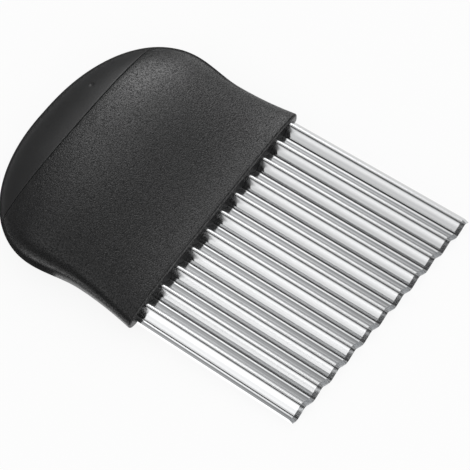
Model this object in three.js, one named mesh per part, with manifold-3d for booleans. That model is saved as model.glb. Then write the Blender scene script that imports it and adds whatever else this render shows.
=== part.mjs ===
// Crinkle cutter: a corrugated steel blade in a hollow moulded handle that a snap-in palm cap closes.
// Millimetres. The pieces are drawn lying level: X runs across the blade, Y from the mouth of the
// handle (Y = 0) to the palm, and Z up from the middle plane of the blade. At the end the whole
// assembly is tipped so that the palm and the cutting edge both lie on the table, at Z = 0.

import * as THREE from "three";
import { mergeVertices } from "three/addons/utils/BufferGeometryUtils.js";
import Module from "manifold-3d";

const wasm = await Module();
wasm.setup();

// Blade sheet.
const wavePitch = 7.6;
const waveCount = 11;
const waveDepth = 3.1; // crest to valley, on the middle of the sheet
const crestSharpness = 0.04; // share of the second harmonic that makes crests sharper than valleys
const flankStraightness = 0.07; // share of the third harmonic that makes the flanks straighter
const sheetThickness = 0.6;
const bladeReach = 60.2; // from the mouth to the cutting edge, on the centre line
const edgeSkew = 5.66; // degrees by which the edge runs out towards +X
const bevelWidth = 1.4;
const edgeThickness = 0.15;
const shoulderDepth = 4; // how far the full width of the blade enters the mouth

// Tang and its grip.
const shoulderWaves = 3; // waves that the tang is narrower than the blade
const barLength = 16;
const rivetFromBarEnd = 5;
const rivetDiameter = 3;
const rivetHeadDiameter = 5;
const rivetHeadHeight = 0.8;

// Handle, in lengths from the mouth to the palm and in steps outwards.
const mouthSideWall = 2.7; // beside the blade's long edges
const lipWall = 1.75; // above and below the blade
const lipRadius = 0.9;
const mouthFlare = 0.17; // how fast the sides open out towards the mouth
const waistInset = 1.9;
const palmBulge = 0.1; // how much wider than the mouth the palm is, on each side
const palmSwell = 5; // how much thicker than the mouth the palm is, on each face
const mouthToWaist = 21.3;
const waistToBulge = 17.9;
const bulgeToSwell = 7.8;
const swellToSeam = 5.6;
const capLength = 15.7; // from the seam to the end of the palm

// Roundness of the superellipses that the handle is made of: 2 is an ellipse, more is squarer.
const mouthSquareness = 4;
const palmSquareness = 2.7;
const outlineSquareness = 2.1;
const noseSquareness = 2.23;
const cavitySquareness = 5.2; // of the cavity, where it would reach the mouth

// Walls of the hollow parts.
const bodyWall = 1.8;
const frontBlock = 16; // solid length behind the mouth
const skirtWall = 1.6;
const skirtLead = 1.8; // length of the cap's skirt ahead of its bead
const capNose = 3; // solid end of the palm cap
const beadHeight = 0.5;
const beadLength = 2;
const beadFromSeam = 3.2;
const seamEase = 0.35; // broken edge along the seam

// Dimple that the moulding gate leaves in the palm cap.
const gateDiameter = 2;
const gateDepth = 0.3;
const gateFromCentre = 13.8;
const gateFromSeam = 5.9;

// Gap between pieces that seat on each other.
const clearance = 0.3;

// How finely curves are cut into flats.
const waveSteps = 12;
const ringSteps = 48;
const lipSteps = 3;
const noseSteps = 12;
const stationSpacing = 4;
const roundSides = 16;
const headSteps = 3;
const cutOverrun = 1; // how far a cutting shape runs past the face that it opens

// Sizes that follow from those above.
const bladeHalf = (waveCount * wavePitch) / 2;
const tangWaves = waveCount - shoulderWaves;
const tangHalf = (tangWaves * wavePitch) / 2;
const barHalf = tangHalf + wavePitch / 4;
const waistAt = mouthToWaist;
const bulgeAt = waistAt + waistToBulge;
const swellAt = bulgeAt + bulgeToSwell;
const seamAt = swellAt + swellToSeam;
const handleLength = seamAt + capLength;
const mouthHalf = bladeHalf + mouthSideWall;
const waistHalf = mouthHalf - waistInset;
const bulgeHalf = mouthHalf + palmBulge;
const waveHalf = (waveDepth + sheetThickness) / 2;
const mouthRise = waveHalf + clearance + lipWall;
const palmRise = mouthRise + palmSwell;
const slotOffset = sheetThickness / 2 + clearance;
const waveStep = wavePitch / waveSteps;
const skewSlope = Math.tan(THREE.MathUtils.degToRad(edgeSkew));

// Eased curve from a to b over 0 to 1, level at its end, with the given rise at its start.
function ease(t, a, b, startRise = 0) {
  const back = (1 - t) ** 2;
  return a * (1 + 2 * t) * back + b * t * t * (3 - 2 * t) + startRise * t * back;
}

// Quarter of a superellipse: 1 at 0, falling to 0 at 1.
function roundOff(t, squareness) {
  return Math.max(0, 1 - Math.abs(t) ** squareness) ** (1 / squareness);
}

// Half width of the handle's outline.
function outlineHalf(y) {
  if (y < waistAt) return ease(y / waistAt, mouthHalf, waistHalf, -mouthFlare * waistAt);
  if (y < bulgeAt) return ease((y - waistAt) / waistToBulge, waistHalf, bulgeHalf);
  return bulgeHalf * roundOff((y - bulgeAt) / (handleLength - bulgeAt), outlineSquareness);
}

// Half thickness of the handle on its centre line.
function outlineRise(y) {
  if (y < swellAt) return ease(y / swellAt, mouthRise, palmRise);
  return palmRise * roundOff((y - swellAt) / (handleLength - swellAt), noseSquareness);
}

// Squareness of the section at y, from a value at the mouth to the palm's own.
function sectionSquareness(y, atMouth) {
  return THREE.MathUtils.lerp(atMouth, palmSquareness, Math.min(1, y / swellAt));
}

// Section of the handle at y, set in from its outer surface.
function section(y, inset = 0, atMouth = mouthSquareness) {
  return {
    y,
    half: outlineHalf(y) - inset,
    rise: outlineRise(y) - inset,
    squareness: sectionSquareness(y, atMouth),
  };
}

// Height of a section's surface at x.
function sectionHeight(s, x) {
  return s.rise * roundOff(x / s.half, s.squareness);
}

// Points of a section, going round from +X by way of +Z.
function sectionRing({ y, half, rise, squareness }) {
  const power = 2 / squareness;
  return Array.from({ length: ringSteps }, (_, k) => {
    const angle = (2 * Math.PI * k) / ringSteps;
    const c = Math.cos(angle);
    const s = Math.sin(angle);
    return new THREE.Vector3(
      half * Math.sign(c) * Math.abs(c) ** power,
      y,
      rise * Math.sign(s) * Math.abs(s) ** power,
    );
  });
}

// Places from a to b in equal steps, both ends included.
function spread(a, b, steps) {
  return Array.from({ length: steps + 1 }, (_, i) => THREE.MathUtils.lerp(a, b, i / steps));
}

// Places along the handle from a to b, at most one station spacing apart.
function stations(a, b) {
  return spread(a, b, Math.ceil((b - a) / stationSpacing));
}

// Places from a to b that close up towards b, for an end that rounds over.
function noseStations(a, b) {
  return spread(0, Math.PI / 2, noseSteps).map((angle) => THREE.MathUtils.lerp(a, b, Math.sin(angle)));
}

// Closed skin through rings of points; each end is closed from the middle of its ring, or from a tip.
function loft(rings, tip) {
  const size = rings[0].length;
  const points = rings.flat();
  const faces = [];
  for (let i = 0; i + 1 < rings.length; i++) {
    for (let k = 0; k < size; k++) {
      const next = (k + 1) % size;
      const [a, b] = [i * size + k, i * size + next];
      faces.push(a, a + size, b + size, a, b + size, b);
    }
  }
  const middle = (ring) => ring.reduce((sum, p) => sum.add(p), new THREE.Vector3()).divideScalar(size);
  const start = points.push(middle(rings[0])) - 1;
  const end = points.push(tip ?? middle(rings.at(-1))) - 1;
  const last = (rings.length - 1) * size;
  for (let k = 0; k < size; k++) {
    const next = (k + 1) % size;
    faces.push(start, k, next, end, last + next, last + k);
  }
  return new THREE.BufferGeometry().setFromPoints(points).setIndex(faces);
}

// Point of the waved sheet at x, moved off its middle surface along the normal.
function wavePoint(x, offset) {
  const turn = (2 * Math.PI) / wavePitch;
  const rise = waveDepth / 2 / (1 + flankStraightness);
  const sharpened = crestSharpness * (Math.cos(2 * turn * x) + 1);
  const sharpenedSlope = 2 * crestSharpness * Math.sin(2 * turn * x);
  const straightened = flankStraightness * Math.sin(3 * turn * x);
  const straightenedSlope = 3 * flankStraightness * Math.cos(3 * turn * x);
  const height = rise * (Math.sin(turn * x) - sharpened - straightened);
  const slope = rise * turn * (Math.cos(turn * x) + sharpenedSlope - straightenedSlope);
  const length = Math.hypot(1, slope);
  return { x: x - (slope * offset) / length, z: height + offset / length };
}

// Solid over the waves from -half to half: edges(x) lists its rows as [y, top, bottom] points.
function waveSolid(half, edges) {
  const columns = spread(-half, half, Math.round((2 * half) / waveStep));
  const rings = columns.map((x) => {
    const rows = edges(x);
    const top = rows.map(([y, p]) => new THREE.Vector3(p.x, y, p.z));
    const bottom = rows.map(([y, , p]) => new THREE.Vector3(p.x, y, p.z)).reverse();
    return [...top, ...bottom];
  });
  return loft(rings);
}

// Space that the sheet takes with its clearance, from y0 to y1; it runs one step past the sheet's sides.
function waveSlot(half, y0, y1) {
  return waveSolid(half + waveStep, (x) =>
    [y0, y1].map((y) => [y, wavePoint(x, slotOffset), wavePoint(x, -slotOffset)]),
  );
}

// A closed geometry as a solid that can be joined and cut.
function solid(geometry) {
  const bare = geometry.clone();
  bare.deleteAttribute("normal");
  bare.deleteAttribute("uv");
  const merged = mergeVertices(bare);
  return new wasm.Manifold(
    new wasm.Mesh({
      numProp: 3,
      vertProperties: new Float32Array(merged.attributes.position.array),
      triVerts: new Uint32Array(merged.index.array),
    }),
  );
}

// A cut or joined solid as a geometry again.
function geometryOf(shape) {
  const mesh = shape.getMesh();
  const geometry = new THREE.BufferGeometry()
    .setAttribute("position", new THREE.BufferAttribute(new Float32Array(mesh.vertProperties), 3))
    .setIndex(new THREE.BufferAttribute(new Uint32Array(mesh.triVerts), 1));
  geometry.computeVertexNormals();
  return geometry;
}

// Block over a stretch of X and of Y, with the same height above and below the blade's middle plane.
function block(x0, x1, y0, y1, rise) {
  return new THREE.BoxGeometry(x1 - x0, y1 - y0, 2 * rise).translate((x0 + x1) / 2, (y0 + y1) / 2, 0);
}

// Upright round bar on a point of the XY plane.
function post(x, y, diameter, height) {
  return new THREE.CylinderGeometry(diameter / 2, diameter / 2, height, roundSides)
    .rotateX(Math.PI / 2)
    .translate(x, y, 0);
}

// Section of the body's cavity at y; what fits inside it is set in further.
const cavityAt = (y, inset = 0) => section(y, bodyWall + inset, cavitySquareness);

// Middle of the cap's snap bead and of its groove in the cavity.
const beadAt = seamAt - beadFromSeam;

// Rings that rise by the bead's height over its length, with sloped sides, around beadAt.
function beadRings(inset, slack) {
  const reach = beadLength / 2 + slack;
  const crown = reach - beadHeight;
  return [
    cavityAt(beadAt - reach, inset),
    cavityAt(beadAt - crown, inset - beadHeight),
    cavityAt(beadAt + crown, inset - beadHeight),
    cavityAt(beadAt + reach, inset),
  ];
}

// The bars lie just behind the front block and fill the cavity's height there, corner to corner.
const barStart = frontBlock + clearance;
const barEnd = barStart + barLength;
const barTop = sectionHeight(cavityAt(barStart), barHalf) - clearance;

// Rivets go through crests on the +X side and through the matching valleys on the other.
const rivetY = barEnd - rivetFromBarEnd;
const rivetCrests = [1, Math.floor(tangWaves / 2) - 1].map((n) => (n + 1 / 4) * wavePitch);
const rivetXs = [...rivetCrests.map((x) => -x).reverse(), ...rivetCrests];

function makeBlade() {
  const half = sheetThickness / 2;
  const sheet = waveSolid(bladeHalf, (x) => {
    const edge = -bladeReach - x * skewSlope;
    const under = wavePoint(x, -half);
    const over = wavePoint(x, half);
    return [
      [edge, wavePoint(x, edgeThickness - half), under],
      [edge + bevelWidth, over, under],
      [barEnd, over, under],
    ];
  });
  let blade = solid(sheet);
  for (const side of [-1, 1]) {
    const [x0, x1] = [side * tangHalf, side * (bladeHalf + cutOverrun)].sort((a, b) => a - b);
    const notch = block(x0, x1, shoulderDepth, barEnd + cutOverrun, palmRise);
    blade = blade.subtract(solid(notch));
  }
  for (const x of rivetXs) {
    blade = blade.subtract(solid(post(x, rivetY, rivetDiameter + 2 * clearance, 2 * palmRise)));
  }
  return geometryOf(blade);
}

function makeBody() {
  const lip = spread(0, Math.PI / 2, lipSteps).map((angle) =>
    section(lipRadius * (1 - Math.cos(angle)), lipRadius * (1 - Math.sin(angle))),
  );
  const face = stations(lipRadius, seamAt - seamEase).slice(1).map((y) => section(y));
  const outside = [...lip, ...face, section(seamAt, seamEase)];
  const beadStart = beadAt - beadLength;
  const cavity = [
    ...stations(frontBlock, beadStart).map((y) => cavityAt(y)),
    ...beadRings(0, clearance),
    cavityAt(seamAt),
    { ...cavityAt(seamAt), y: seamAt + cutOverrun },
  ];
  return geometryOf(
    solid(loft(outside.map(sectionRing)))
      .subtract(solid(loft(cavity.map(sectionRing))))
      .subtract(solid(waveSlot(bladeHalf, -cutOverrun, shoulderDepth + clearance)))
      .subtract(solid(waveSlot(tangHalf, 0, frontBlock + cutOverrun))),
  );
}

// Point of the palm's upper surface, and the way it faces.
function palmPoint(x, y) {
  const at = (px, py) => new THREE.Vector3(px, py, sectionHeight(section(py), px));
  const reach = gateDiameter / 2;
  const across = at(x + reach, y).sub(at(x - reach, y));
  const along = at(x, y + reach).sub(at(x, y - reach));
  return { point: at(x, y), normal: across.cross(along).normalize() };
}

function makeCap() {
  const start = beadAt - beadLength / 2 - skirtLead;
  const shelf = seamAt + clearance;
  const skirt = [
    cavityAt(start, clearance),
    ...beadRings(clearance, 0),
    { ...cavityAt(seamAt, clearance), y: shelf },
  ];
  const dome = noseStations(shelf + seamEase, handleLength).slice(0, -1);
  const outside = [...skirt, section(shelf, seamEase), ...dome.map((y) => section(y))];
  const hollowInset = clearance + skirtWall;
  const hollow = [
    { ...cavityAt(start, hollowInset), y: start - cutOverrun },
    ...stations(start, handleLength - capNose).map((y) => cavityAt(y, hollowInset)),
  ];
  const tip = new THREE.Vector3(0, handleLength, 0);
  const gate = palmPoint(gateFromCentre, seamAt + gateFromSeam);
  const gateRadius = (gateDiameter ** 2 / 4 + gateDepth ** 2) / (2 * gateDepth);
  const ball = new THREE.SphereGeometry(gateRadius, roundSides, roundSides);
  const centre = gate.point.addScaledVector(gate.normal, gateRadius - gateDepth);
  ball.translate(centre.x, centre.y, centre.z);
  return geometryOf(
    solid(loft(outside.map(sectionRing), tip))
      .subtract(solid(loft(hollow.map(sectionRing))))
      .subtract(solid(ball)),
  );
}

// Bar that lies over the waves of the tang (side 1) or under them (side -1).
function makeBar(side) {
  const flat = (x) => ({ x, z: side * barTop });
  const waved = (x) => wavePoint(x, side * slotOffset);
  const [top, bottom] = side > 0 ? [flat, waved] : [waved, flat];
  let bar = solid(waveSolid(barHalf, (x) => [barStart, barEnd].map((y) => [y, top(x), bottom(x)])));
  for (const x of rivetXs) {
    bar = bar.subtract(solid(post(x, rivetY, rivetDiameter + 2 * clearance, 2 * palmRise)));
  }
  return geometryOf(bar);
}

// Rivet with a low domed head on each bar, turned about its own axis.
function makeRivet() {
  const under = barTop + clearance;
  const head = new THREE.EllipseCurve(0, under, rivetHeadDiameter / 2, rivetHeadHeight, 0, Math.PI / 2);
  const upper = [new THREE.Vector2(rivetDiameter / 2, under), ...head.getPoints(headSteps)];
  const lower = upper.map((p) => new THREE.Vector2(p.x, -p.y)).reverse();
  const profile = [...lower, ...upper];
  const turned = new THREE.LatheGeometry(profile, roundSides).rotateX(Math.PI / 2);
  return geometryOf(solid(turned));
}

const steel = { color: 0xc9cbcc, roughness: 0.2, metalness: 1 };
const grainedPlastic = { color: 0x191a1b, roughness: 0.62, metalness: 0 };
const smoothPlastic = { color: 0x131415, roughness: 0.38, metalness: 0 };
const nylon = { color: 0x3a3c3e, roughness: 0.55, metalness: 0 };
const rivetMetal = { color: 0xb4b6b8, roughness: 0.35, metalness: 1 };

function piece(name, geometry, finish) {
  const mesh = new THREE.Mesh(geometry, new THREE.MeshStandardMaterial(finish));
  mesh.name = name;
  return mesh;
}

const cutter = new THREE.Group();
cutter.add(
  piece("blade", makeBlade(), steel),
  piece("handle_body", makeBody(), grainedPlastic),
  piece("palm_cap", makeCap(), smoothPlastic),
  piece("upper_tang_bar", makeBar(1), nylon),
  piece("lower_tang_bar", makeBar(-1), nylon),
);
rivetXs.forEach((x, i) => {
  const rivet = piece(`tang_rivet_${i + 1}`, makeRivet(), rivetMetal);
  rivet.position.set(x, rivetY, 0);
  cutter.add(rivet);
});

// Lying on a table, the cutter leans on its palm and on the tips of the waves at the cutting edge.
cutter.rotation.x = Math.atan2(palmRise - waveHalf, swellAt + bladeReach);
const bounds = new THREE.Box3().setFromObject(cutter, true);
const middle = bounds.getCenter(new THREE.Vector3());
cutter.position.set(-middle.x, -middle.y, -bounds.min.z);

export default cutter;
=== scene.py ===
"""Looks of the crinkle cutter: a bright waved blade in a black grained handle with a smooth palm end.

The pieces are drawn in millimetres, lying level, as in the part's own drawing: X across the blade, Y from
the mouth of the handle (0) to the palm, Z up from the middle of the sheet. seated() then tips them onto
the table and turns them into metres.
"""

import math

import bpy
import numpy as np
from mathutils import Matrix


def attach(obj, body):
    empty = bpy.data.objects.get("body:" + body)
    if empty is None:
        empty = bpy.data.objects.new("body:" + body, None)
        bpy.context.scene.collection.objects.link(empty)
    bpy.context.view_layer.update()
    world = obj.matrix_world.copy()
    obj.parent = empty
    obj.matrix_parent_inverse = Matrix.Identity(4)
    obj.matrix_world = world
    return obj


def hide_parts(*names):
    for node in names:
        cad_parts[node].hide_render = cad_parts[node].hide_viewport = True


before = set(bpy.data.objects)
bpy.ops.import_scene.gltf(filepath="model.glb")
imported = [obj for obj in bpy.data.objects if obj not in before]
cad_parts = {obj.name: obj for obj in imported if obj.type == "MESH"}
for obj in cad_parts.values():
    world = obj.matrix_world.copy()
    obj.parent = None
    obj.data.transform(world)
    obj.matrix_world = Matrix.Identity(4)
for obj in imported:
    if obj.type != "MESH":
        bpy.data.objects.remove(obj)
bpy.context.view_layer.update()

# Blade sheet, in millimetres.
WAVE_PITCH = 7.6
WAVE_COUNT = 11
WAVE_DEPTH = 3.1
CREST_SHARPNESS = 0.04
FLANK_STRAIGHTNESS = 0.07
WAVE_RISE = WAVE_DEPTH / 2 / (1 + FLANK_STRAIGHTNESS)
SHEET_THICKNESS = 0.6
BLADE_REACH = 60.2
EDGE_SKEW = math.tan(math.radians(5.66))
BEVEL_WIDTH = 1.4
EDGE_THICKNESS = 0.15
SHOULDER_DEPTH = 4.0
TANG_WAVES = 8
TANG_END = 32.3
BLADE_HALF = WAVE_COUNT * WAVE_PITCH / 2
TANG_HALF = TANG_WAVES * WAVE_PITCH / 2

# Polish of the sheet: bright in the valleys, rubbed satin from a share of the rise upwards.
ROLLED_ROUGHNESS = 0.06
RUBBED_ROUGHNESS = 0.14
RUBBED_FROM = -0.1
RUBBED_TO = 0.5

# Handle outline, from the mouth to the end of the palm.
MOUTH_HALF = 44.5
MOUTH_RISE = 3.9
MOUTH_FLARE = 0.17
WAIST_AT = 21.3
WAIST_HALF = 42.6
BULGE_AT = 39.2
BULGE_HALF = 44.6
SWELL_AT = 47.0
PALM_RISE = 8.9
SEAM_AT = 52.6
HANDLE_LENGTH = 68.3
LIP_RADIUS = 0.9
SEAM_EASE = 0.22
SEAM_GAP = 0.14
SLOT_GAP = 0.08

# Squareness of the handle's superellipses: 2 is an ellipse, more is squarer.
MOUTH_SQUARENESS = 4.0
PALM_SQUARENESS = 2.7
OUTLINE_SQUARENESS = 2.1
NOSE_SQUARENESS = 2.23
CAVITY_SQUARENESS = 5.2

# Hollow of the handle and the skirt of the palm end. The step in the slot leans, to keep its rings apart.
BODY_WALL = 1.8
FRONT_BLOCK = 16.0
SHOULDER_LEAN = 0.02
SKIRT_GAP = 0.3
SKIRT_WALL = 1.6
SKIRT_START = 46.6
PALM_NOSE = 3.6

# Dimple of the moulding gate in the palm end, and the square of finer mesh that frames it.
GATE_X = 13.8
GATE_Y = 58.5
GATE_RADIUS = 1.0
GATE_DEPTH = 0.35
GATE_ROUNDNESS = 0.7
GATE_FRAME_HALF = 1.6
GATE_ROW_GAP = 0.1
GATE_SHARE_GAP = 0.004

# Fineness of the meshes: steps along each stretch, the share of the half width from which the ends of the
# mouth are stepped by height, and the angles in degrees from which edges are sharp.
BLADE_WAVE_STEPS = 64
BEVEL_STEPS = 3
OPEN_STEPS = 9
SHOULDER_STEPS = 2
TANG_STEPS = 11
SLOT_WAVE_STEPS = 20
MOUTH_END_STEPS = 9
MOUTH_END_FROM = 0.955
LIP_STEPS = 8
FACE_STEPS = 55
RIM_STEPS = 6
CAVITY_STEPS = 19
HOLLOW_STEPS = 13
SKIRT_STEPS = 5
DOME_STEPS = 48
DOME_ROUND_STEPS = 120
GATE_STEPS = 32
FLAG_STEPS = 11
FLAG_ROUND_STEPS = 48
HANDLE_SHARP_FROM = 20
BLADE_SHARP_FROM = 12
ROUNDING = 1e-6

# How the cutter lies on the table: its lean in radians and the place of the drawing's origin.
LEAN = math.radians(3.7626344)
ORIGIN_AT = np.array([0.0, -1.98175, 6.03131])
METRES = 0.001

# Photograph's view, in the drawing's own frame. What is seen starts and ends at distances in metres.
VIEW_AZIMUTH = math.radians(-51.24)
VIEW_ELEVATION = math.radians(62.342)
VIEW_ROLL = math.radians(-4.128)
VIEW_AIM = np.array([-1.788, -7.954, 0.0])
VIEW_DISTANCE = 396.13
VIEW_LENS = 99.485
FILM_WIDTH = 36.0
SEEN_FROM = 0.01
SEEN_TO = 20.0

# Studio: dull surfaces get even light, and gloss sees a tent of long panels along Y. Each panel starts at a
# turn about Y, in degrees from straight up towards X, and has its brightness.
WHITE = (1, 1, 1, 1)
TENT_LIGHT = 0.95
FAR_LEFT = 2.5
LEFT_WALL = [(-78, 2.1), (-74, 1.8), (-70, 1.5), (-66, 1.25), (-62, 0.98)]
LENS_GAP = [(-54, 0.02)]
ROOF = [(-22.5, 2.0), (-16, 1.1), (-4, 0.75)]
RIGHT_WALL = [(16, 1.4), (22, 2.6), (40, 1.5), (75, 1.8)]
PANEL_EASE = 2.5

# What crosses the panels: a dim curtain in front, which opens again further forward, a lamp and a dim
# stretch of roof towards the back, and a dim curtain behind. Single values are turns in degrees or
# brightness, and pairs are ranges of the share of a direction along Y.
ROOF_FROM = -24
FRONT_CURTAIN = (0.24, -0.08)
FRONT_OPENS = (-0.5, -0.66)
FRONT_LIGHT = 0.3
LAMP_FROM = 27
LAMP_TO = 49
LAMP_ALONG = (0.24, 0.34)
LAMP_LIGHT = 6.5
DIM_ROOF_ALONG = (0.28, 0.4)
DIM_ROOF_LIGHT = 0.3
BACK_CURTAIN = (0.4, 0.58)
BACK_LIGHT = 0.25

# The curtain behind hangs down to the horizon, over a range of the share of a direction along Z.
BACK_CURTAIN_HANGS = (0.0, 0.07)

# Dark flag in front on the left, and a dark sheet on the floor behind the palm that is painted shade of the
# floor there as gloss sees it, in metres. Their fading runs over a range of the share of a direction along
# an axis, and a share never gets past 1.
FLAG_LIGHT = 0.05
FLAG_DISTANCE = 2.5
FLAG_WAY = [-0.76, -0.47, 0.45]
FLAG_FADES = (math.cos(math.radians(21)), math.cos(math.radians(29)))
SHADE_SHEET_NEAR = 0.03
SHADE_SHEET_FAR = 0.6
SHADE_SHEET_HALF = 0.5
SHADE_SHEET_HEIGHT = 0.0005
NEVER_FADES = (2, 3)

# Floor: its side in metres, its grey where it is lit, and how much of it is its own white.
FLOOR_SIDE = 4.0
FLOOR_GREY = 0.85
FLOOR_OWN_WHITE = 0.88


def lean_matrix():
    """Turn about X by the lean, as a 3 by 3 matrix."""
    c, s = math.cos(LEAN), math.sin(LEAN)
    return np.array([[1, 0, 0], [0, c, -s], [0, s, c]])


def seated(points):
    """Drawing points in millimetres as places on the table in metres: turned by the lean, then moved."""
    return (points @ lean_matrix().T + ORIGIN_AT) * METRES


def steps(start, end, count):
    """Even places from the start to the end, in a count of steps."""
    return np.linspace(start, end, count + 1)


def ease(t, a, b, start_rise=0.0):
    """Cubic from a to b over 0 to 1, level at its end, with the given rise at its start."""
    back = (1 - t) ** 2
    return a * (1 + 2 * t) * back + b * t * t * (3 - 2 * t) + start_rise * t * back


def round_off(t, squareness):
    """Quarter of a superellipse: one at 0, falling to zero at 1."""
    return np.maximum(0, 1 - np.abs(t) ** squareness) ** (1 / squareness)


def outline_half(y):
    """Half width at y: a flared ease to the waist, an ease to the bulge, a superellipse round the palm."""
    front = ease(y / WAIST_AT, MOUTH_HALF, WAIST_HALF, -MOUTH_FLARE * WAIST_AT)
    middle = ease((y - WAIST_AT) / (BULGE_AT - WAIST_AT), WAIST_HALF, BULGE_HALF)
    palm = BULGE_HALF * round_off((y - BULGE_AT) / (HANDLE_LENGTH - BULGE_AT), OUTLINE_SQUARENESS)
    return np.where(y < WAIST_AT, front, np.where(y < BULGE_AT, middle, palm))


def outline_rise(y):
    """Half thickness at y: an ease from the mouth to the swell, then a superellipse over the palm."""
    front = ease(y / SWELL_AT, MOUTH_RISE, PALM_RISE)
    palm = PALM_RISE * round_off((y - SWELL_AT) / (HANDLE_LENGTH - SWELL_AT), NOSE_SQUARENESS)
    return np.where(y < SWELL_AT, front, palm)


def section_rings(y, inset, shares, sides, at_mouth=MOUTH_SQUARENESS, plane=None):
    """Superellipse sections at the places y: x is the half width times the share, z the half thickness
    times the superellipse of that share, above or below by side. The outline is set in by inset all round,
    and plane moves the rings along Y to another place."""
    y = np.atleast_1d(np.asarray(y, float))[:, None]
    inset = np.broadcast_to(np.asarray(inset, float).reshape(-1, 1), y.shape)
    squareness = at_mouth + (PALM_SQUARENESS - at_mouth) * np.minimum(1, y / SWELL_AT)
    x = (outline_half(y) - inset) * shares
    z = (outline_rise(y) - inset) * round_off(np.broadcast_to(shares, x.shape), squareness) * sides
    along = np.broadcast_to(y if plane is None else plane, x.shape)
    return np.stack([x, along, z], -1)


def round_the_section(over):
    """Shares and sides once round a section: over the top along the given shares, and back underneath."""
    shares = np.concatenate([over, over[-2:0:-1]])
    sides = np.concatenate([np.ones(len(over)), -np.ones(len(over) - 2)])
    return shares, sides


def wave_stations(wave_steps):
    """Places across the blade, from side to side, in even steps of each wave."""
    return steps(-BLADE_HALF, BLADE_HALF, WAVE_COUNT * wave_steps)


def wave_points(x, y, offset):
    """Points of the waved sheet: z is a sine of x, with a share of its second harmonic that makes crests
    sharper than valleys and one of its third that makes flanks straighter. Each point is then moved along
    the normal by offset."""
    turn = 2 * math.pi / WAVE_PITCH
    angle = turn * x
    sharper = CREST_SHARPNESS * (np.cos(2 * angle) + 1)
    straighter = FLANK_STRAIGHTNESS * np.sin(3 * angle)
    sharper_slope = 2 * CREST_SHARPNESS * np.sin(2 * angle)
    straighter_slope = 3 * FLANK_STRAIGHTNESS * np.cos(3 * angle)
    height = WAVE_RISE * (np.sin(angle) - sharper - straighter)
    slope = WAVE_RISE * turn * (np.cos(angle) + sharper_slope - straighter_slope)
    length = np.hypot(1, slope)
    px = x - slope * offset / length
    pz = height + offset / length
    return np.stack(np.broadcast_arrays(px, y, pz), -1)


def strip_faces(rings, wraps):
    """Quads between each ring of points and the next, and from the last to the first if it wraps."""
    count, size = rings.shape[:2]
    index = np.arange(count * size).reshape(count, size)
    here = index if wraps else index[:-1]
    there = np.roll(index, -1, 0) if wraps else index[1:]
    corners = [here, there, np.roll(there, -1, 1), np.roll(here, -1, 1)]
    return np.stack(corners, -1).reshape(-1, 4)


def grid_faces(rows, columns):
    """Quads of an open grid of points."""
    index = np.arange(rows * columns).reshape(rows, columns)
    corners = [index[:-1, :-1], index[:-1, 1:], index[1:, 1:], index[1:, :-1]]
    return np.stack(corners, -1).reshape(-1, 4)


def cell_corners(cells):
    """Row and column of the four corners of each marked cell of a grid, in turn round the cell."""
    r, c = np.nonzero(cells)
    return [(r, c), (r, c + 1), (r + 1, c + 1), (r + 1, c)]


def outward(points, quads, triangles):
    """The faces as they are, or turned over where the volume that they enclose comes out negative."""
    fans = np.concatenate([quads[:, [0, 1, 2]], quads[:, [0, 2, 3]], triangles])
    a, b, c = (points[fans[:, k]] for k in range(3))
    if np.einsum("ij,ij->", a, np.cross(b, c)) < 0:
        return quads[:, ::-1], triangles[:, ::-1]
    return quads, triangles


def add_piece(name, points, quads, triangles, node, sharp_from=HANDLE_SHARP_FROM):
    """Mesh object from points in millimetres, in place of a node: smooth, but for edges from an angle on."""
    quads, triangles = outward(points, quads, triangles)
    mesh = bpy.data.meshes.new(name)
    mesh.from_pydata(seated(points).tolist(), [], quads.tolist() + triangles.tolist())
    mesh.shade_smooth()
    mesh.set_sharp_from_angle(angle=math.radians(sharp_from))
    piece = bpy.data.objects.new(name, mesh)
    bpy.context.scene.collection.objects.link(piece)
    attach(piece, "root")
    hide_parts(node)
    return piece


NO_TRIANGLES = np.zeros((0, 3), int)


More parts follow.
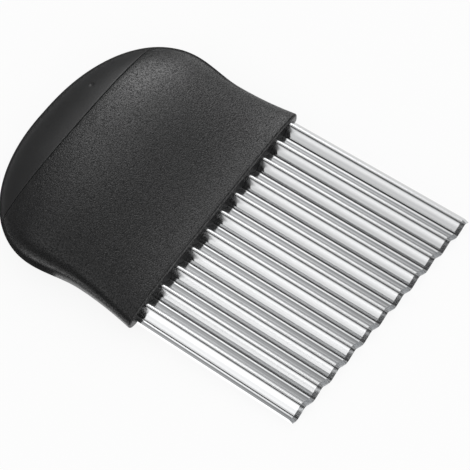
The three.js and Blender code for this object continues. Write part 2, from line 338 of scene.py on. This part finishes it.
def make_handle_shell():
    """One skin that turns on itself like a stretched ring: out round the lip, along the outside to the seam,
    in and along the cavity, and back out through the wavy slot to the mouth."""
    waves = wave_stations(SLOT_WAVE_STEPS)
    end_heights = steps(round_off(MOUTH_END_FROM, MOUTH_SQUARENESS), 0, MOUTH_END_STEPS)[1:]
    ends = round_off(end_heights, MOUTH_SQUARENESS)
    over = np.concatenate([-ends[::-1], waves / BLADE_HALF * MOUTH_END_FROM, ends])
    shares, sides = round_the_section(over)
    pad = np.full(MOUTH_END_STEPS, BLADE_HALF)
    wave_x, _ = round_the_section(np.concatenate([-pad, waves, pad]))
    order, _ = round_the_section(np.linspace(-1, 1, len(over)))

    def slot_ring(half, y):
        """Outline of the slot: the sheet's two faces with a gap, brought together at the sheet's ends."""
        held = (np.abs(wave_x) <= half + ROUNDING) & (np.abs(shares) <= MOUTH_END_FROM + ROUNDING)
        last = np.abs(order[held]).max()
        closing = np.clip((np.abs(order) - last) / (1 - last), 0, 1)
        x = np.clip(wave_x, -half, half)
        face = wave_points(x, y, sides * (SHEET_THICKNESS / 2 + SLOT_GAP))
        middle = wave_points(x, y, 0.0)
        ring = face + (middle - face) * closing[:, None]
        ring[:, 0] += np.sign(order) * SLOT_GAP * (closing > 0)
        return ring[None]

    bend = steps(0, math.pi / 2, LIP_STEPS)
    lip_y = LIP_RADIUS * (1 - np.cos(bend))
    lip = section_rings(lip_y, LIP_RADIUS * (1 - np.sin(bend)), shares, sides)
    face_y = steps(LIP_RADIUS, SEAM_AT - SEAM_EASE, FACE_STEPS)[1:]
    face = section_rings(face_y, 0, shares, sides)
    turn = steps(0, math.pi / 2, RIM_STEPS)[1:]
    rim_y = SEAM_AT - SEAM_EASE * (1 - np.sin(turn))
    rim = section_rings(rim_y, SEAM_EASE * (1 - np.cos(turn)), shares, sides)
    cavity_y = steps(SEAM_AT, FRONT_BLOCK, CAVITY_STEPS)
    cavity = section_rings(cavity_y, BODY_WALL, shares, sides, CAVITY_SQUARENESS)
    passage = [slot_ring(TANG_HALF, y) for y in (FRONT_BLOCK, SHOULDER_DEPTH + SHOULDER_LEAN)]
    mouth = [slot_ring(BLADE_HALF, y) for y in (SHOULDER_DEPTH, 0.0)]
    rings = np.concatenate([lip, face, rim, cavity, *passage, *mouth])
    points = rings.reshape(-1, 3)
    quads = strip_faces(rings, wraps=True)
    return add_piece("handle_shell", points, quads, NO_TRIANGLES, "handle_body")


def make_palm_end():
    """A skin from the bottom of the hollow, out over the skirt, round the rim at the seam and over the dome
    to its tip. The gate's dimple is pressed in along Z, a rounded bowl by the distance from its middle."""
    angles = steps(math.pi, 0, DOME_ROUND_STEPS)
    plain = np.sign(np.cos(angles)) * np.abs(np.cos(angles)) ** (2 / PALM_SQUARENESS)
    near_gate = steps(-GATE_FRAME_HALF, GATE_FRAME_HALF, GATE_STEPS)
    gate_shares = (GATE_X + near_gate) / outline_half(GATE_Y)
    before = plain < gate_shares[0] - GATE_SHARE_GAP
    after = plain > gate_shares[-1] + GATE_SHARE_GAP
    over = np.sort(np.concatenate([plain[before | after], gate_shares]))
    over[[0, -1]] = -1, 1
    shares, sides = round_the_section(over)

    skirt_inset = BODY_WALL + SKIRT_GAP
    hollow_y = steps(HANDLE_LENGTH - PALM_NOSE, SKIRT_START, HOLLOW_STEPS)
    hollow = section_rings(hollow_y, skirt_inset + SKIRT_WALL, shares, sides, CAVITY_SQUARENESS)
    skirt_y = steps(SKIRT_START, SEAM_AT, SKIRT_STEPS)
    skirt = section_rings(skirt_y, skirt_inset, shares, sides, CAVITY_SQUARENESS)
    shelf = SEAM_AT + SEAM_GAP
    neck = section_rings(SEAM_AT, skirt_inset, shares, sides, CAVITY_SQUARENESS, plane=shelf)
    turn = steps(0, math.pi / 2, RIM_STEPS)
    rim_y = shelf + SEAM_EASE * (1 - np.cos(turn))
    rim = section_rings(rim_y, SEAM_EASE * (1 - np.sin(turn)), shares, sides)

    dome_from = shelf + SEAM_EASE
    sweep = dome_from + (HANDLE_LENGTH - dome_from) * np.sin(steps(0, math.pi / 2, DOME_STEPS)[1:-1])
    clear = np.abs(sweep - GATE_Y) > GATE_FRAME_HALF + GATE_ROW_GAP
    dome_y = np.sort(np.concatenate([sweep[clear], GATE_Y + near_gate]))
    dome = section_rings(dome_y, 0, shares, sides)
    from_gate = np.hypot(dome[..., 0] - GATE_X, dome[..., 1] - GATE_Y) / GATE_RADIUS
    bowl = np.maximum(0, 1 - from_gate**2) ** GATE_ROUNDNESS
    dome[..., 2] -= GATE_DEPTH * bowl * (dome[..., 2] > 0)

    rings = np.concatenate([hollow, skirt, neck, rim, dome])
    count, size = rings.shape[:2]
    tips = np.array([[0, hollow_y[0], 0], [0, HANDLE_LENGTH, 0]])
    points = np.concatenate([rings.reshape(-1, 3), tips])
    here = np.arange(size)
    there = np.roll(here, -1)
    last = (count - 1) * size
    hollow_tip = np.full(size, count * size)
    dome_tip = hollow_tip + 1
    hollow_fan = np.stack([hollow_tip, here, there], -1)
    dome_fan = np.stack([last + here, dome_tip, last + there], -1)
    triangles = np.concatenate([hollow_fan, dome_fan])
    quads = strip_faces(rings, wraps=False)
    return add_piece("palm_end", points, quads, triangles, "palm_cap")


def make_blade_sheet():
    """Two matching grids over the waves, half the sheet's thickness above and below its middle, the upper
    one brought down along the ground edge. Cells beside the tang are left out, and walls close the rim."""
    x = wave_stations(BLADE_WAVE_STEPS)
    edge = -BLADE_REACH - x * EDGE_SKEW
    bevel_rows = edge + steps(0, BEVEL_WIDTH, BEVEL_STEPS)[:-1, None]
    open_rows = (edge + BEVEL_WIDTH) * steps(1, 0, OPEN_STEPS)[:, None]
    held_rows = steps(0, SHOULDER_DEPTH, SHOULDER_STEPS)[1:, None] + 0 * x
    tang_rows = steps(SHOULDER_DEPTH, TANG_END, TANG_STEPS)[1:, None] + 0 * x
    y = np.concatenate([bevel_rows, open_rows, held_rows, tang_rows])
    half = SHEET_THICKNESS / 2
    ground = np.clip((y - edge) / BEVEL_WIDTH, 0, 1)
    top = EDGE_THICKNESS - half + (SHEET_THICKNESS - EDGE_THICKNESS) * ground
    upper = wave_points(x + 0 * y, y, top)
    lower = wave_points(x + 0 * y, y, -half)

    rows, columns = y.shape
    index = np.arange(rows * columns).reshape(rows, columns)
    below = index + rows * columns
    kept = np.ones((rows - 1, columns - 1), bool)
    kept[-len(tang_rows) :] = np.abs((x[1:] + x[:-1]) / 2) < TANG_HALF
    corners = cell_corners(kept)
    upper_faces = np.stack([index[k] for k in corners], 1)
    lower_faces = np.stack([below[k] for k in corners[::-1]], 1)
    faces = [upper_faces, lower_faces]
    framed = np.pad(kept, 1)
    for side, (down, right) in enumerate([(-1, 0), (0, 1), (1, 0), (0, -1)]):
        beyond = framed[1 + down : rows + down, 1 + right : columns + right]
        corners = cell_corners(kept & ~beyond)
        a = corners[side]
        b = corners[(side + 1) % 4]
        faces.append(np.stack([index[b], index[a], below[a], below[b]], 1))
    used, quads = np.unique(np.concatenate(faces), return_inverse=True)
    quads = quads.reshape(-1, 4)
    points = np.concatenate([upper.reshape(-1, 3), lower.reshape(-1, 3)])[used]
    piece = add_piece("blade_sheet", points, quads, NO_TRIANGLES, "blade", BLADE_SHARP_FROM)

    # The first faces are the rows of the ground edge, which have the second finish.
    finishes = np.zeros(len(quads), np.int32)
    finishes[: BEVEL_STEPS * (columns - 1)] = 1
    piece.data.polygons.foreach_set("material_index", finishes)
    return piece


class Wire:
    """One socket among a finish's nodes. Sums and products with numbers or other wires add Math nodes."""

    def __init__(self, finish, socket):
        self.finish = finish
        self.socket = socket

    def _math(self, operation, first, second):
        return self.finish.node("ShaderNodeMath", {"operation": operation}, {0: first, 1: second})

    def __add__(self, other):
        return self._math("ADD", self, other)

    def __radd__(self, other):
        return self._math("ADD", other, self)

    def __sub__(self, other):
        return self._math("SUBTRACT", self, other)

    def __rsub__(self, other):
        return self._math("SUBTRACT", other, self)

    def __mul__(self, other):
        return self._math("MULTIPLY", self, other)

    def __rmul__(self, other):
        return self._math("MULTIPLY", other, self)


class Finish:
    """The nodes of a material or of the world, with one method that adds a node."""

    def __init__(self, owner):
        owner.use_nodes = True
        self.owner = owner
        self.tree = owner.node_tree
        self.tree.nodes.clear()

    def node(self, kind, settings=None, inputs=None, output=0):
        """Adds a node of a kind, sets its settings, then fills its sockets with values or wires."""
        made = self.tree.nodes.new(kind)
        for key, value in (settings or {}).items():
            setattr(made, key, value)
        for key, value in (inputs or {}).items():
            if isinstance(value, Wire):
                self.tree.links.new(value.socket, made.inputs[key])
            else:
                made.inputs[key].default_value = value
        return Wire(self, made.outputs[output]) if len(made.outputs) else made

    def drawn(self, stretch=(1, 1, 1)):
        """Place in the drawing, in millimetres: object coordinates turned back by the lean and moved back,
        and then stretched."""
        here = self.node("ShaderNodeTexCoord", output="Object")
        back = -(lean_matrix().T @ ORIGIN_AT)
        inputs = {"Vector": here, "Location": back, "Rotation": (-LEAN, 0, 0), "Scale": [1 / METRES] * 3}
        level = self.node("ShaderNodeMapping", {}, inputs)
        return self.node("ShaderNodeVectorMath", {"operation": "MULTIPLY"}, {0: level, 1: stretch})

    def noise(self, where, scale, detail=2.0, roughness=0.5):
        """Cloudy noise from 0 to 1 at a place, with a scale per millimetre."""
        inputs = {"Vector": where, "Scale": scale, "Detail": detail, "Roughness": roughness}
        return self.node("ShaderNodeTexNoise", {}, inputs)

    def share(self, value, start, end):
        """Smooth step of a value from 0 at the start to 1 at the end."""
        inputs = {"Value": value, "From Min": start, "From Max": end}
        return self.node("ShaderNodeMapRange", {"interpolation_type": "SMOOTHSTEP"}, inputs)

    def between(self, share, low, high):
        """Colour between two colours by a share."""
        inputs = {0: share, 6: (*low, 1), 7: (*high, 1)}
        return self.node("ShaderNodeMix", {"data_type": "RGBA"}, inputs, output=2)

    def mixed(self, share, first, second):
        """From the first shader to the second by a share."""
        return self.node("ShaderNodeMixShader", {}, {0: share, 1: first, 2: second})

    def bump(self, height, depth, strength=1.0):
        """Normal of a relief of a height from 0 to 1, of a depth in millimetres."""
        inputs = {"Strength": strength, "Distance": depth * METRES, "Height": height}
        return self.node("ShaderNodeBump", {}, inputs)

    def rays(self, kind):
        """One for rays of a kind, and nought for others."""
        return self.node("ShaderNodeLightPath", output=kind)

    def seen_rays(self):
        """One for rays from the lens, off gloss and through glass, and nought for others."""
        return self.rays("Is Camera Ray") + self.rays("Is Glossy Ray") + self.rays("Is Transmission Ray")

    def emission(self, strength):
        """White that shines by itself with a strength."""
        return self.node("ShaderNodeEmission", {}, {"Color": WHITE, "Strength": strength})

    def principled(self, **inputs):
        """Surface of the plain all-round shader with the given inputs."""
        named = {key.replace("_", " "): value for key, value in inputs.items()}
        return self.surface(self.node("ShaderNodeBsdfPrincipled", {}, named))

    def surface(self, shader):
        """Sends a shader to the material's surface."""
        self.node("ShaderNodeOutputMaterial", {}, {"Surface": shader})
        return self.owner


def grained_plastic():
    """Black polypropylene with a fine spark-eroded grain: bumps under half a millimetre across, shinier
    where they stand up, and a faint mottle."""
    finish = Finish(bpy.data.materials.new("grained_black_plastic"))
    here = finish.drawn()
    grain = finish.noise(here, scale=2.3, detail=1.0)
    mottle = finish.noise(here, scale=0.16, detail=3.0)
    raised = finish.share(grain, 0.28, 0.72)
    shade = raised * 0.3 + mottle * 0.7
    return finish.principled(
        Base_Color=finish.between(shade, low=(0.006, 0.0061, 0.0063), high=(0.012, 0.0122, 0.0126)),
        Roughness=0.26 + mottle * 0.1,
        Normal=finish.bump(grain, depth=0.12),
        IOR=1.49,
        Specular_IOR_Level=0.25,
        Coat_Weight=raised * 0.75,
        Coat_Roughness=0.26,
    )


def smooth_plastic():
    """Black polypropylene from a smooth mould: satin, with a faint flow mottle and fine rubbing marks."""
    finish = Finish(bpy.data.materials.new("smooth_black_plastic"))
    here = finish.drawn()
    mottle = finish.noise(here, scale=0.12, detail=3.0)
    rubs = finish.noise(here, scale=1.4)
    return finish.principled(
        Base_Color=finish.between(mottle, low=(0.009, 0.0092, 0.0095), high=(0.013, 0.0132, 0.0136)),
        Roughness=0.32 + mottle * 0.1,
        Normal=finish.bump(rubs, depth=0.01),
        IOR=1.49,
    )


def rolled_steel():
    """Bright rolled stainless steel: a faint long grain along the waves, and crests rubbed duller."""
    finish = Finish(bpy.data.materials.new("rolled_stainless_steel"))
    grain = finish.noise(finish.drawn(stretch=(1, 0.02, 1)), scale=5.2)
    cloud = finish.noise(finish.drawn(), scale=0.09)
    height = finish.node("ShaderNodeSeparateXYZ", {}, {0: finish.drawn()}, output="Z")
    rubbed = finish.share(height, RUBBED_FROM * WAVE_RISE, RUBBED_TO * WAVE_RISE)
    return finish.principled(
        Base_Color=finish.between(grain, low=(0.55, 0.555, 0.56), high=(0.61, 0.615, 0.62)),
        Metallic=1.0,
        Roughness=ROLLED_ROUGHNESS + grain * 0.03 + cloud * 0.02 + rubbed * RUBBED_ROUGHNESS,
        Normal=finish.bump(grain, depth=0.01, strength=0.06),
    )


def ground_steel():
    """Steel where the edge is ground: fine scratches across the edge, and duller than the sheet."""
    finish = Finish(bpy.data.materials.new("ground_steel_edge"))
    scratches = finish.noise(finish.drawn(stretch=(1, 0.08, 1)), scale=9.0, roughness=0.6)
    return finish.principled(
        Base_Color=finish.between(scratches, low=(0.5, 0.51, 0.52), high=(0.64, 0.65, 0.66)),
        Metallic=1.0,
        Roughness=0.2 + scratches * 0.12,
        Normal=finish.bump(scratches, depth=0.01, strength=0.25),
    )


def tang_nylon():
    """Dark grey nylon of the bars that grip the tang, with a moulded mottle."""
    finish = Finish(bpy.data.materials.new("dark_grey_nylon"))
    mottle = finish.noise(finish.drawn(), scale=0.7, detail=3.0)
    return finish.principled(
        Base_Color=finish.between(mottle, low=(0.035, 0.037, 0.04), high=(0.055, 0.057, 0.06)),
        Roughness=0.45 + mottle * 0.2,
    )


def rivet_metal():
    """Plain aluminium of the rivets, with a soft tumbled mottle."""
    finish = Finish(bpy.data.materials.new("plain_aluminium"))
    mottle = finish.noise(finish.drawn(), scale=0.9, detail=3.0)
    return finish.principled(
        Base_Color=finish.between(mottle, low=(0.6, 0.61, 0.62), high=(0.74, 0.75, 0.76)),
        Metallic=1.0,
        Roughness=0.25 + mottle * 0.2,
    )


def add_stage(name, points, quads):
    """Mesh object of the studio, from points in metres, that isn't part of the cutter."""
    mesh = bpy.data.meshes.new(name)
    mesh.from_pydata(points.tolist(), [], quads.tolist())
    piece = bpy.data.objects.new(name, mesh)
    bpy.context.scene.collection.objects.link(piece)
    return piece


def make_floor():
    """Plain white floor, a flat square: mostly its own white to the lens and to gloss, the rest lit, so that
    a soft shadow stays."""
    corners = np.array([[-1, -1, 0], [1, -1, 0], [1, 1, 0], [-1, 1, 0]]) * FLOOR_SIDE / 2
    floor = add_stage("white_floor", corners, np.array([[0, 1, 2, 3]]))
    finish = Finish(bpy.data.materials.new("white_paper"))
    lit = finish.node("ShaderNodeBsdfDiffuse", {}, {"Color": (FLOOR_GREY, FLOOR_GREY, FLOOR_GREY, 1)})
    paper = finish.mixed(finish.seen_rays() * FLOOR_OWN_WHITE, lit, finish.emission(1.0))
    floor.data.materials.append(finish.surface(paper))


def frame_facing(way):
    """Three axes in the columns of a matrix: square to Y, as near to Y as can be, and along a way."""
    along = np.array(way) / np.linalg.norm(way)
    across = np.cross([0.0, 1.0, 0.0], along)
    across /= np.linalg.norm(across)
    return np.stack([across, np.cross(along, across), along], 1)


def placed(turn, spot):
    """Matrix of an object from its three axes and its place in metres."""
    matrix = np.eye(4)
    matrix[:3, :3] = turn
    matrix[:3, 3] = spot
    return Matrix(matrix.tolist())


def add_flag(name, points, axis, fades):
    """Dark flag that only gloss sees, over a grid of points: it fades out over a range of the share of its
    direction along an axis."""
    flag = add_stage(name, points.reshape(-1, 3), grid_faces(*points.shape[:2]))
    flag.visible_camera = flag.visible_diffuse = flag.visible_transmission = flag.visible_shadow = False
    finish = Finish(bpy.data.materials.new(name))
    here = finish.node("ShaderNodeTexCoord", output="Object")
    way = finish.node("ShaderNodeVectorMath", {"operation": "NORMALIZE"}, {0: here})
    dot_product = {"operation": "DOT_PRODUCT"}
    along = finish.node("ShaderNodeVectorMath", dot_product, {0: way, 1: axis}, output="Value")
    size = finish.node("ShaderNodeMath", {"operation": "ABSOLUTE"}, {0: along})
    open_air = finish.node("ShaderNodeBsdfTransparent")
    faded = finish.mixed(finish.share(size, *fades), finish.emission(FLAG_LIGHT), open_air)
    flag.data.materials.append(finish.surface(faded))


def make_front_flag():
    """Round flag in front on the left: a cap of a sphere by angle from its middle and angle round it."""
    turn = frame_facing(FLAG_WAY)
    off = steps(0, math.acos(FLAG_FADES[1]), FLAG_STEPS)[:, None]
    round_it = steps(0, 2 * math.pi, FLAG_ROUND_STEPS)
    x = np.sin(off) * np.cos(round_it)
    y = np.sin(off) * np.sin(round_it)
    z = np.cos(off) + 0 * round_it
    cap = FLAG_DISTANCE * np.stack([x, y, z], -1)
    add_flag("front_flag", cap @ turn.T, turn[:, 2], FLAG_FADES)


def make_palm_painted_shade():
    """Painted shade of the floor behind the palm, which only gloss sees: a dark flat oblong on the floor."""
    x = np.array([[-SHADE_SHEET_HALF], [SHADE_SHEET_HALF]])
    y = np.array([SHADE_SHEET_NEAR, SHADE_SHEET_FAR])
    points = np.stack(np.broadcast_arrays(x, y, SHADE_SHEET_HEIGHT), -1)
    add_flag("palm_painted_shade", points, (0, 0, 1), NEVER_FADES)


def make_tent():
    """Tent round the cutter: white to the lens, even light for dull surfaces, and for gloss a row of long
    panels, each by its turn about Y, which curtains and a lamp cross."""
    world = bpy.data.worlds.new("white_tent")
    bpy.context.scene.world = world
    finish = Finish(world)
    way = finish.node("ShaderNodeTexCoord", output="Generated")
    across, back, up = (finish.node("ShaderNodeSeparateXYZ", {}, {0: way}, axis) for axis in "XYZ")
    turn = finish.node("ShaderNodeMath", {"operation": "ARCTAN2"}, {0: across, 1: up})

    def glow(strength):
        """Even white of a strength."""
        return finish.node("ShaderNodeBackground", {}, {"Color": WHITE, "Strength": strength})

    def past(start):
        """Share that goes from 0 to 1 about a turn in degrees."""
        return finish.share(turn, math.radians(start - PANEL_EASE), math.radians(start + PANEL_EASE))

    tent = glow(FAR_LEFT)
    for start, brightness in LEFT_WALL + LENS_GAP + ROOF + RIGHT_WALL:
        tent = finish.mixed(past(start), tent, glow(brightness))
    in_front = finish.share(back, *FRONT_CURTAIN) * (1 - finish.share(back, *FRONT_OPENS))
    tent = finish.mixed(past(ROOF_FROM) * in_front, tent, glow(FRONT_LIGHT))
    on_lamp = past(LAMP_FROM) * (1 - past(LAMP_TO)) * finish.share(back, *LAMP_ALONG)
    tent = finish.mixed(on_lamp, tent, glow(LAMP_LIGHT))
    dim_roof = past(ROOF_FROM) * (1 - past(LAMP_FROM)) * finish.share(back, *DIM_ROOF_ALONG)
    tent = finish.mixed(dim_roof, tent, glow(DIM_ROOF_LIGHT))
    behind = finish.share(back, *BACK_CURTAIN) * finish.share(up, *BACK_CURTAIN_HANGS)
    tent = finish.mixed(behind, tent, glow(BACK_LIGHT))
    lit = finish.mixed(finish.rays("Is Glossy Ray"), glow(TENT_LIGHT), tent)
    seen = finish.mixed(finish.rays("Is Camera Ray"), lit, glow(1.0))
    finish.node("ShaderNodeOutputWorld", {}, {"Surface": seen})


def make_camera():
    """Camera at the photograph's view: back from the aim along azimuth and elevation, then rolled."""
    a, e = VIEW_AZIMUTH, VIEW_ELEVATION
    back = np.array([math.sin(a) * math.cos(e), -math.cos(a) * math.cos(e), math.sin(e)])
    level = np.array([math.cos(a), math.sin(a), 0.0])
    upright = np.cross(back, level)
    right = level * math.cos(VIEW_ROLL) + upright * math.sin(VIEW_ROLL)
    data = bpy.data.cameras.new("photo_view")
    data.lens = VIEW_LENS
    data.sensor_width = FILM_WIDTH
    data.clip_start = SEEN_FROM
    data.clip_end = SEEN_TO
    camera = bpy.data.objects.new("photo_view", data)
    turned = lean_matrix() @ np.stack([right, np.cross(back, right), back], 1)
    camera.matrix_world = placed(turned, seated(VIEW_AIM + back * VIEW_DISTANCE))
    bpy.context.scene.collection.objects.link(camera)
    bpy.context.scene.camera = camera


make_camera()
make_tent()
make_floor()
make_front_flag()
# Painted shade of the floor behind the palm, seen only in reflections.
make_palm_painted_shade()

blade = make_blade_sheet()
blade.data.materials.append(rolled_steel())
blade.data.materials.append(ground_steel())
make_handle_shell().data.materials.append(grained_plastic())
make_palm_end().data.materials.append(smooth_plastic())

INNER_FINISHES = {"tang_bar": tang_nylon(), "tang_rivet": rivet_metal()}
for name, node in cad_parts.items():
    for word, material in INNER_FINISHES.items():
        if word in name:
            node.data.materials.clear()
            node.data.materials.append(material)

bpy.context.scene.view_settings.view_transform = "Standard"
